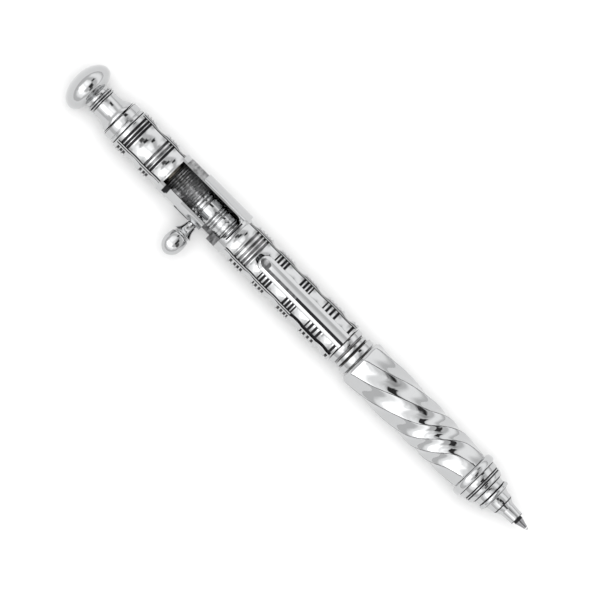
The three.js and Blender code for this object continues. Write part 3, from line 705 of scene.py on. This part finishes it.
# Nib: turned in steps from a collar with two fine grooves down to the small
# hole that the refill's nose comes out of, polished and chrome-plated.
nib_start, nib_bore, hole = 128.82, 2.05, 1.3
nib_outside = [(nib_start, 5.3), (130.15, 5.2), (130.23, 4.95), (130.43, 4.95), (130.51, 5.15),
               (130.7, 5.12), (130.78, 4.85), (130.98, 4.85), (131.06, 5.05), (131.4, 4.95)]
nib_outside += smooth_stations([(131.55, 4.9), (131.85, 4.78), (132.07, 4.55), (132.2, 4.2),
                                (132.35, 3.95), (132.75, 3.82), (133.65, 3.8)], 4)
nib_outside += smooth_stations([(133.8, 3.9), (134.05, 4.22), (134.4, 4.3), (134.7, 4.2),
                                (134.85, 3.9)], 4)
nib_outside += smooth_stations([(134.95, 3.35), (135.25, 3.15), (136.05, 2.87), (136.95, 2.75),
                                (137.25, 2.7)], 4)
nib_outside += smooth_stations([(137.4, 2.5), (137.95, 2.25), (138.55, 1.95), (138.85, 1.9),
                                (140.55, 1.74), (141.65, 1.66), (141.8, 1.55)], 4)
nib = turn("nib_stepped", nib_outside + [
    (141.8, hole), (137.55, hole), (135.25, nib_bore), (134.4, nib_bore), (134.4, 2.98),
    (131.5, 2.98), (131.5, coupler_bore), (nib_start, coupler_bore), (nib_start, 5.3)])
finish_edges(nib, width=0.04, angle=26)
# Painted shade: the nib's gaps, grooves and steps are black.
shade_bands = [(128.8, 128.84), (130.2, 130.46), (130.75, 131.01), (132.08, 132.38),
               (133.62, 133.84), (134.84, 135.0), (137.2, 137.5), (141.6, 141.9)]
blacken(nib, lambda x, y, z: any(start < x < end for start, end in shade_bands))
dress(nib, chrome, "lower_barrel", "polished_chrome", "nib")


# Refill: moulded cap and drawn steel tube as the frame has them, hidden, then
# the turned nose with its ball seat, a darker metal, and the ball.
plastic = metal("moulded cap", (0.03, 0.03, 0.032), 0.4, 0.6)
plastic.node_tree.nodes["Principled BSDF"].inputs["Metallic"].default_value = 0.0
wear("refill_cap", plastic)
wear("refill_tube", steel)
nose_metal = metal("refill nose metal", (0.3, 0.3, 0.31), 0.1, 0.2)
nose = turn("refill_nose_turned", [
    (131.4, 1.75), (133.3, 1.1), (142.5, 1.08), (142.65, 0.98), *smooth_stations([
        (142.8, 0.98), (143.6, 0.72), (144.3, 0.56), (144.65, 0.46)], 4)], 48)
finish_edges(nose, width=0.03)
nose.data.materials.append(nose_metal)
# The nose's shank, inside the nib and just out of its hole, is black.
blacken(nose, lambda x, y, z: 133.4 < x < 142.45)
dress(nose, nose_metal, "plunger", "dark_chrome", "refill_nose")
wear("refill_ball", steel)


# Return spring: a steel wire coil round the refill's neck, made at rest. In the pen
# its rear end moves with the refill and its front end stays on the nib's seat; here
# it is tied to neither.
deselect()
spring_start, spring_end, coils = 118.9, 133.8, 9
coil_radius, wire_radius, wire_sides = 2.39, 0.27, 12
bpy.ops.mesh.primitive_circle_add(vertices=wire_sides, radius=wire_radius * MM,
                                  rotation=(RIGHT, 0, 0),
                                  location=(spring_start * MM, 0, coil_radius * MM))
spring = bpy.context.object
spring.name = "spring_coil"
bpy.ops.object.transform_apply(location=True, rotation=True, scale=True)
apply_modifier(spring, "SCREW", axis="X", iterations=coils, steps=32, render_steps=32,
               screw_offset=(spring_end - spring_start) / coils * MM)
select(spring)
bpy.ops.object.mode_set(mode="EDIT")
bpy.ops.mesh.select_all(action="SELECT")
bpy.ops.mesh.fill_holes(sides=wire_sides)
bpy.ops.mesh.normals_make_consistent(inside=False)
bpy.ops.object.mode_set(mode="OBJECT")
bpy.ops.object.shade_smooth_by_angle(angle=math.radians(50))
spring.data.materials.append(steel)
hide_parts("return_spring")
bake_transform(spring)


# Studio: a white paper floor, a large soft lamp overhead and a pale room, with
# the camera above the pen. The metal mirrors a bright softbox on the handle's
# side, paler walls, and the dark shapes of two stands and the camera above.
deselect()
pen_middle, floor_level = 72, -6.27
bpy.ops.mesh.primitive_plane_add(size=1.6, location=(pen_middle * MM, 0, floor_level * MM))
floor = bpy.context.object
floor.name = "floor"
paper = bpy.data.materials.new("white paper")
paper.use_nodes = True
paper_shader = paper.node_tree.nodes["Principled BSDF"]
paper_shader.inputs["Base Color"].default_value = (0.93, 0.93, 0.93, 1)
paper_shader.inputs["Roughness"].default_value = 0.9
floor.data.materials.append(paper)

lamp_data = bpy.data.lights.new("overhead softbox", "AREA")
lamp_data.shape = "RECTANGLE"
lamp_data.size = 0.9
lamp_data.size_y = 0.9
lamp_data.energy = 5.6
lamp = bpy.data.objects.new("overhead softbox", lamp_data)
bpy.context.scene.collection.objects.link(lamp)
lamp.location = (pen_middle * MM, 0, 0.9)
lamp.visible_glossy = False
lamp.visible_camera = False

world = bpy.data.worlds.new("white room")
bpy.context.scene.world = world
world.use_nodes = True
nodes, links = world.node_tree.nodes, world.node_tree.links
direction = nodes.new("ShaderNodeTexCoord")
split = nodes.new("ShaderNodeSeparateXYZ")
links.new(direction.outputs["Generated"], split.inputs["Vector"])


def math_node(operation, *values):
    """A math node on numbers or on other nodes' outputs."""
    node = nodes.new("ShaderNodeMath")
    node.operation = operation
    for socket, value in zip(node.inputs, values):
        if isinstance(value, (int, float)):
            socket.default_value = value
        else:
            links.new(value, socket)
    return node.outputs["Value"]


def patch(across_from, across_to, along_from, along_to, strength, soft=3):
    """A soft-edged patch of the room, between two angles across the pen, where the handle's
    side is positive, and two along it, where the tip's side is."""
    shares = []
    for value, low, high in ((across, across_from, across_to), (along, along_from, along_to)):
        for start, end in ((low - soft, low + soft), (high + soft, high - soft)):
            edge = nodes.new("ShaderNodeMapRange")
            edge.interpolation_type = "SMOOTHSTEP"
            links.new(value, edge.inputs["Value"])
            edge.inputs["From Min"].default_value = math.radians(start)
            edge.inputs["From Max"].default_value = math.radians(end)
            shares.append(edge.outputs["Result"])
    both = math_node("MULTIPLY", math_node("MULTIPLY", shares[0], shares[1]),
                     math_node("MULTIPLY", shares[2], shares[3]))
    return math_node("MULTIPLY", both, strength)


ripple = nodes.new("ShaderNodeTexNoise")
ripple.inputs["Scale"].default_value = 4.5
ripple.inputs["Detail"].default_value = 5
links.new(direction.outputs["Generated"], ripple.inputs["Vector"])
drift = nodes.new("ShaderNodeSeparateColor")
links.new(ripple.outputs["Color"], drift.inputs["Color"])
across = math_node("ARCTAN2", math_node("MULTIPLY", split.outputs["Y"], -1), split.outputs["Z"])
along = math_node("ARCSINE", split.outputs["X"])
across = math_node("MULTIPLY_ADD", math_node("SUBTRACT", drift.outputs["Red"], 0.5), 0.25, across)
along = math_node("MULTIPLY_ADD", math_node("SUBTRACT", drift.outputs["Green"], 0.5), 0.3, along)
softbox = (patch(12, 50, -60, 10, 0.9, 5), patch(28, 66, -46, 40, 0.6, 7),
           patch(-12, 48, -60, 60, 0.5, 10))
walls = (patch(-76, -46, -60, 60, 0.6, 10), patch(-22, 8, -60, -10, 0.6, 5))
stands = (patch(-42, -23, -22, -3, 0.95, 2), patch(-22, 3, 13, 36, 0.96))
shades = (patch(-32, -8, 4, 13, 0.4, 4), patch(3, 28, 14, 40, 0.4, 6))
camera_shape = (patch(-14, 14, 36, 66, 0.9, 5),)
glow = 0.86
for light in softbox + walls:
    glow = math_node("ADD", glow, light)
for dark in stands + shades + camera_shape:
    glow = math_node("MULTIPLY", glow, math_node("SUBTRACT", 1, dark))
mirrored = nodes["Background"]
mirrored.inputs["Color"].default_value = (1, 1, 1, 1)
links.new(glow, mirrored.inputs["Strength"])
room = nodes.new("ShaderNodeBackground")
room.inputs["Color"].default_value = (0.8, 0.8, 0.8, 1)
plain = nodes.new("ShaderNodeBackground")
plain.inputs["Color"].default_value = (1, 1, 1, 1)
ray = nodes.new("ShaderNodeLightPath")
glossy = nodes.new("ShaderNodeMixShader")
links.new(ray.outputs["Is Glossy Ray"], glossy.inputs["Fac"])
links.new(room.outputs["Background"], glossy.inputs[1])
links.new(mirrored.outputs["Background"], glossy.inputs[2])
choose = nodes.new("ShaderNodeMixShader")
links.new(ray.outputs["Is Camera Ray"], choose.inputs["Fac"])
links.new(glossy.outputs["Shader"], choose.inputs[1])
links.new(plain.outputs["Background"], choose.inputs[2])
links.new(choose.outputs["Shader"], nodes["World Output"].inputs["Surface"])

camera_data = bpy.data.cameras.new("camera")
camera_data.sensor_width = 36
camera_data.lens = 412.2
camera = bpy.data.objects.new("camera", camera_data)
bpy.context.scene.collection.objects.link(camera)
tilt, roll = math.radians(4), math.radians(45.2)
distance = 1560
camera.location = (71.85 * MM, (0.05 - distance * math.sin(tilt)) * MM,
                   distance * math.cos(tilt) * MM)
camera.rotation_euler = (Matrix.Rotation(tilt, 4, "X")
                         @ Matrix.Rotation(roll, 4, "Z")).to_euler()
bpy.context.scene.camera = camera
bpy.context.scene.view_settings.view_transform = "Standard"
